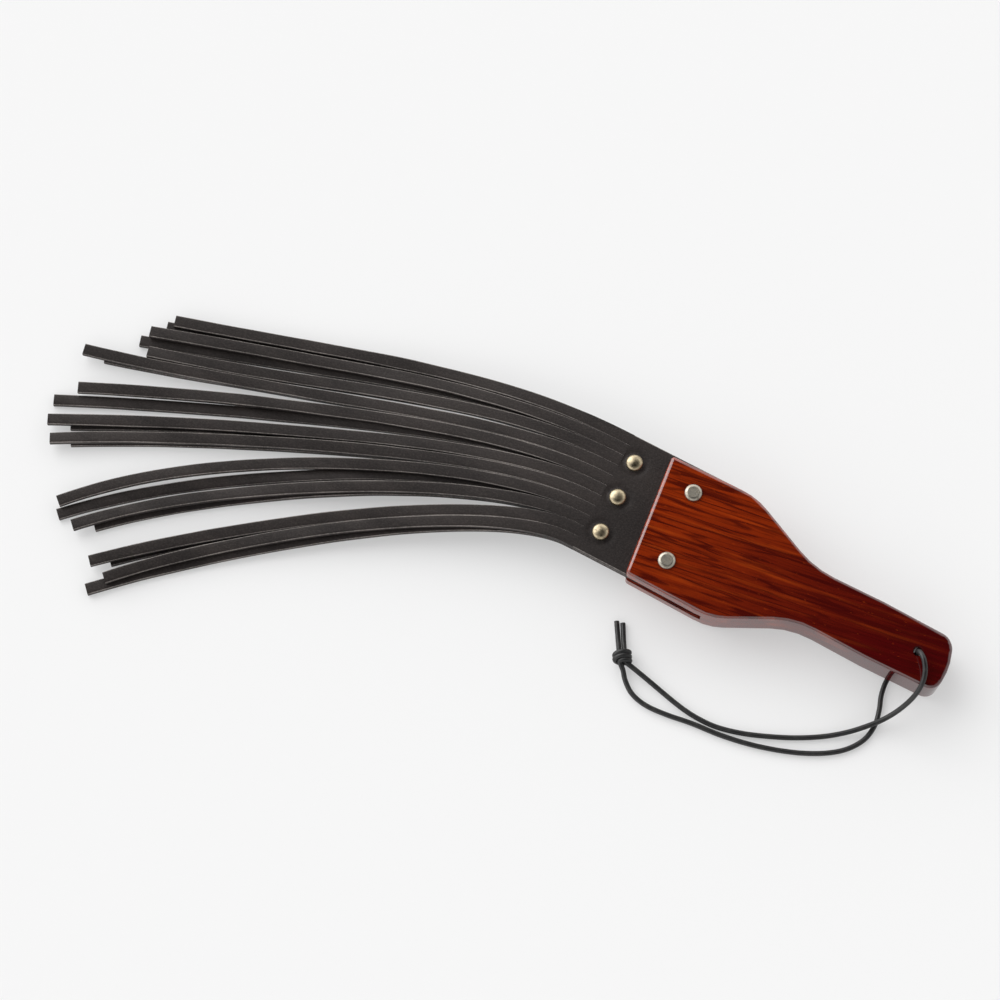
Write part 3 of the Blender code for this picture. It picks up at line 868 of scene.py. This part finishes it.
def leather_materials(settings):
    """The face, painted edge highlight and cut side materials, made once."""
    names = ("bridle leather", "painted highlight leather edge", "cut leather side")
    found = [bpy.data.materials.get(name) for name in names]
    if None not in found:
        return found
    # Painted highlight: the edge colour is light caught on the corners, and its darker places are a
    # share of it.
    edge_highlight_dark = tuple(c * EDGE_SHADE for c in settings.edge_highlight_colour)
    side_light = tuple(c * SIDE_LIGHT for c in settings.side_colour)
    return [
        bridle_leather(names[0], settings.face_colour, settings.worn_colour),
        bridle_leather(names[1], edge_highlight_dark, settings.edge_highlight_colour),
        bridle_leather(names[2], settings.side_colour, side_light),
    ]


def bore_axis_x():
    """The bore's place along the handle, from the back leg's vertices inside the wood."""
    mesh = frame["nodes"]["lanyard_back_leg"].data
    inside = [v.co.x for v in mesh.vertices if v.co.z > INSIDE_WOOD]
    return (min(inside) + max(inside)) / 2


def knot_turns(knot, ahead, across):
    """The lace's turns round the two legs, tucked in at both ends."""
    turns = []
    for i in range(LACE_STATIONS):
        t = i / (LACE_STATIONS - 1)
        u = 2 * math.pi * KNOT_TURNS * t + KNOT_PHASE
        tuck = 0.5 + 0.5 * ease(min(t, 1 - t) / KNOT_TUCK)
        turns.append(
            knot
            + ahead * (KNOT_LENGTH * (t - 0.5) + KNOT_SLANT * math.sin(u))
            + across * KNOT_WIDTH * tuck * math.cos(u)
            + Vector((0, 0, 1)) * KNOT_RISE * tuck * math.sin(u)
        )
    return turns


# ---------------------------------------------------------------- operators


class SWATTER_OT_handle(bpy.types.Operator):
    """Varnish the wooden handle"""

    bl_idname = "swatter.handle"
    bl_label = "Handle"

    def execute(self, context):
        dress("handle", varnished_wood(context.scene.swatter_handle))
        return {"FINISHED"}


class SWATTER_OT_leather_tabs(bpy.types.Operator):
    """Make the uncut roots of both leather layers"""

    bl_idname = "swatter.leather_tabs"
    bl_label = "Leather tabs"

    def execute(self, context):
        settings = context.scene.swatter_leather
        materials = leather_materials(settings)
        facts = leather_facts()
        rivets = []
        for i in LEATHER_RIVETS:
            low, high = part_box(f"leather_rivet_cap_{i}")
            rivets.append((low + high) / 2)
        for layer, side in (("upper", 1), ("lower", -1)):
            z = facts[f"{layer}_z"]
            tab = make_tab(f"{layer}_tab_leather", z, side, facts, rivets, settings, materials)
            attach(tab, HELD)
            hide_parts(f"{layer}_leather_tab")
        return {"FINISHED"}


class SWATTER_OT_leather_strips(bpy.types.Operator):
    """Make the slit ends of both leather layers, which bend where they leave the tabs"""

    bl_idname = "swatter.leather_strips"
    bl_label = "Leather strips"

    def execute(self, context):
        settings = context.scene.swatter_leather
        materials = leather_materials(settings)
        facts = leather_facts()
        for lane, tips in enumerate(TIPS):
            for layer, (tip, side) in enumerate(zip(tips, ("upper", "lower"))):
                z = facts[f"{side}_z"]
                strip = make_strip(lane, layer, tip, z, facts, settings, materials)
                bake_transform(strip)
                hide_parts(f"{side}_strip_{lane + 1:02d}")
        return {"FINISHED"}


class SWATTER_OT_rivets(bpy.types.Operator):
    """Plate the rivets in the wood and in the leather"""

    bl_idname = "swatter.rivets"
    bl_label = "Rivets"

    def execute(self, context):
        settings = context.scene.swatter_rivets
        tarnish = settings.tarnish_colour
        bright = nickel("bright nickel", settings.wood_rivet_colour, tarnish, 0.34)
        antique = nickel("antique nickel", settings.leather_rivet_colour, tarnish, 0.25)
        for i in WOOD_RIVETS:
            dress(f"wood_rivet_barrel_{i}", bright)
            dress(f"wood_rivet_post_{i}", bright)
        for i in LEATHER_RIVETS:
            dress(f"leather_rivet_cap_{i}", antique)
            dress(f"leather_rivet_stud_{i}", antique)
        return {"FINISHED"}


class SWATTER_OT_lanyard(bpy.types.Operator):
    """Thread the lace through the handle and tie its ends"""

    bl_idname = "swatter.lanyard"
    bl_label = "Lanyard"

    def execute(self, context):
        settings = context.scene.swatter_lanyard
        lace = black_lace(settings)
        radius = settings.diameter / 2
        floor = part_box("lanyard_back_leg")[0].z
        low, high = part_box("lanyard_knot")
        knot = (low + high) / 2
        knot.z = floor + KNOT_HEIGHT
        bore = Vector((bore_axis_x(), 0, 0))
        ahead = facing(TAIL_HEADING)
        across = Vector((-ahead.y, ahead.x, 0))

        for name, points, side in (("front", FRONT_LEG, -1), ("back", BACK_LEG, 1)):
            out = facing(TAIL_HEADING + side)
            beside = across * side * (radius + LACE_GAP)
            level = Vector((knot.x, knot.y, floor + radius)) + beside
            route = [bore + Vector(p) for p in points]
            route += [
                knot - ahead * KNOT_MOUTH + beside,
                knot + ahead * KNOT_MOUTH + beside,
                level + ahead * TAIL_DIP + Vector((0, 0, 0.0012)),
                level + ahead * TAIL_START + Vector((0, 0, 0.0003)),
                level + ahead * TAIL_START + out * settings.tail * 0.45,
                level + ahead * TAIL_START + out * (settings.tail * 0.9 + side * TAIL_UNEVEN),
            ]
            line = smooth_route(route, LACE_STATIONS)
            obj = lace_curve(f"{name}_lace", line, radius, lace)
            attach(obj, HELD)
            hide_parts(f"lanyard_{name}_leg", f"lanyard_tail_{1 if side < 0 else 2}")

        wrap = lace_curve("overhand_knot", knot_turns(knot, ahead, across), radius, lace)
        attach(wrap, HELD)
        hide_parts("lanyard_knot")
        return {"FINISHED"}


class SWATTER_OT_stage(bpy.types.Operator):
    """Set out the floor, the soft lights and the camera"""

    bl_idname = "swatter.stage"
    bl_label = "Stage"

    def execute(self, context):
        settings = context.scene.swatter_stage
        context.scene.view_settings.view_transform = "Standard"
        self.lay_floor(context.scene, settings)
        self.light_room(context.scene, settings)
        self.place_camera(context.scene, settings)
        return {"FINISHED"}

    def lay_floor(self, scene, settings):
        mesh = bpy.data.meshes.new("floor")
        shape = bmesh.new()
        bmesh.ops.create_grid(shape, x_segments=1, y_segments=1, size=FLOOR_REACH)
        shape.to_mesh(mesh)
        shape.free()
        floor = bpy.data.objects.new("floor", mesh)
        scene.collection.objects.link(floor)
        floor.location.z = leather_facts()["floor"] - FLOOR_GAP
        material, _, shader, _ = new_shader("pale floor")
        shader.inputs["Base Color"].default_value = (*settings.floor_colour, 1)
        shader.inputs["Emission Color"].default_value = WHITE
        shader.inputs["Emission Strength"].default_value = settings.floor_glow
        shader.inputs["Roughness"].default_value = 0.9
        shader.inputs["Specular IOR Level"].default_value = 0.1
        floor.data.materials.append(material)

    def light_room(self, scene, settings):
        """Light from all round, dim overhead, with one wide soft lobe as the key light."""
        world = bpy.data.worlds.new("soft room")
        scene.world = world
        world.use_nodes = True
        tree = world.node_tree
        direction = tree.nodes.new("ShaderNodeTexCoord").outputs["Generated"]
        parts = tree.nodes.new("ShaderNodeSeparateXYZ")
        tree.links.new(direction, parts.inputs["Vector"])
        height = parts.outputs["Z"]
        room = ramp_of(tree, height, *CEILING_EDGES, settings.room_light, settings.ceiling)
        toward = tree.nodes.new("ShaderNodeVectorMath")
        toward.operation = "DOT_PRODUCT"
        tree.links.new(direction, toward.inputs[0])
        toward.inputs[1].default_value = Vector(KEY_DIRECTION).normalized()
        facing_key = toward.outputs["Value"]
        edge = math.cos(settings.key_spread)
        core = 1.0 - KEY_CORE * (1.0 - edge)
        key = ramp_of(tree, facing_key, edge, core, 0.0, settings.key_light)
        near_side = ramp_of(tree, facing_key, *FAR_SIDE_EDGES, settings.far_side, 1.0)
        room = combined(tree, "MULTIPLY", room, near_side)
        background = tree.nodes["Background"]
        tree.links.new(combined(tree, "ADD", room, key), background.inputs["Strength"])
        background.inputs["Color"].default_value = WHITE

    def place_camera(self, scene, settings):
        camera = bpy.data.cameras.new("camera")
        camera.lens = settings.lens
        camera.sensor_width = SENSOR_WIDTH
        camera.clip_start = CLIP_START
        eye = bpy.data.objects.new("camera", camera)
        scene.collection.objects.link(eye)
        turn = settings.turn
        flat = math.cos(settings.elevation)
        rise = math.sin(settings.elevation)
        back = Vector((-math.sin(turn) * flat, math.cos(turn) * flat, rise))
        eye.location = Vector(settings.aim) + back * settings.distance
        eye.rotation_euler = (-back).to_track_quat("-Z", "Y").to_euler()
        scene.camera = eye


class SWATTER_PT_panel(bpy.types.Panel):
    """The swatter's parts and their settings"""

    bl_idname = "SWATTER_PT_panel"
    bl_label = "Leather Fly Swatter"
    bl_space_type = "VIEW_3D"
    bl_region_type = "UI"
    bl_category = "Swatter"

    def draw(self, context):
        for title, group, operators in GROUPS:
            box = self.layout.box()
            box.label(text=title)
            settings = getattr(context.scene, group)
            for name in settings.bl_rna.properties.keys():
                if name not in ("rna_type", "name"):
                    box.prop(settings, name)
            for operator in operators:
                box.operator(operator)


GROUPS = (
    ("Stage", "swatter_stage", ("swatter.stage",)),
    ("Handle", "swatter_handle", ("swatter.handle",)),
    ("Leather", "swatter_leather", ("swatter.leather_tabs", "swatter.leather_strips")),
    ("Rivets", "swatter_rivets", ("swatter.rivets",)),
    ("Lanyard", "swatter_lanyard", ("swatter.lanyard",)),
)
SETTINGS = {
    "swatter_stage": StageSettings,
    "swatter_handle": HandleSettings,
    "swatter_leather": LeatherSettings,
    "swatter_rivets": RivetSettings,
    "swatter_lanyard": LanyardSettings,
}
OPERATORS = (
    SWATTER_OT_handle,
    SWATTER_OT_leather_tabs,
    SWATTER_OT_leather_strips,
    SWATTER_OT_rivets,
    SWATTER_OT_lanyard,
    SWATTER_OT_stage,
)


def register():
    for group, settings in SETTINGS.items():
        bpy.utils.register_class(settings)
        setattr(bpy.types.Scene, group, PointerProperty(type=settings))
    for operator in OPERATORS:
        bpy.utils.register_class(operator)
    bpy.utils.register_class(SWATTER_PT_panel)


def unregister():
    bpy.utils.unregister_class(SWATTER_PT_panel)
    for operator in reversed(OPERATORS):
        bpy.utils.unregister_class(operator)
    for group, settings in SETTINGS.items():
        delattr(bpy.types.Scene, group)
        bpy.utils.unregister_class(settings)


def main():
    register()
    bpy.ops.swatter.stage()
    bpy.ops.swatter.handle()
    bpy.ops.swatter.leather_tabs()
    bpy.ops.swatter.leather_strips()
    bpy.ops.swatter.rivets()
    bpy.ops.swatter.lanyard()


if __name__ == "__main__":
    main()
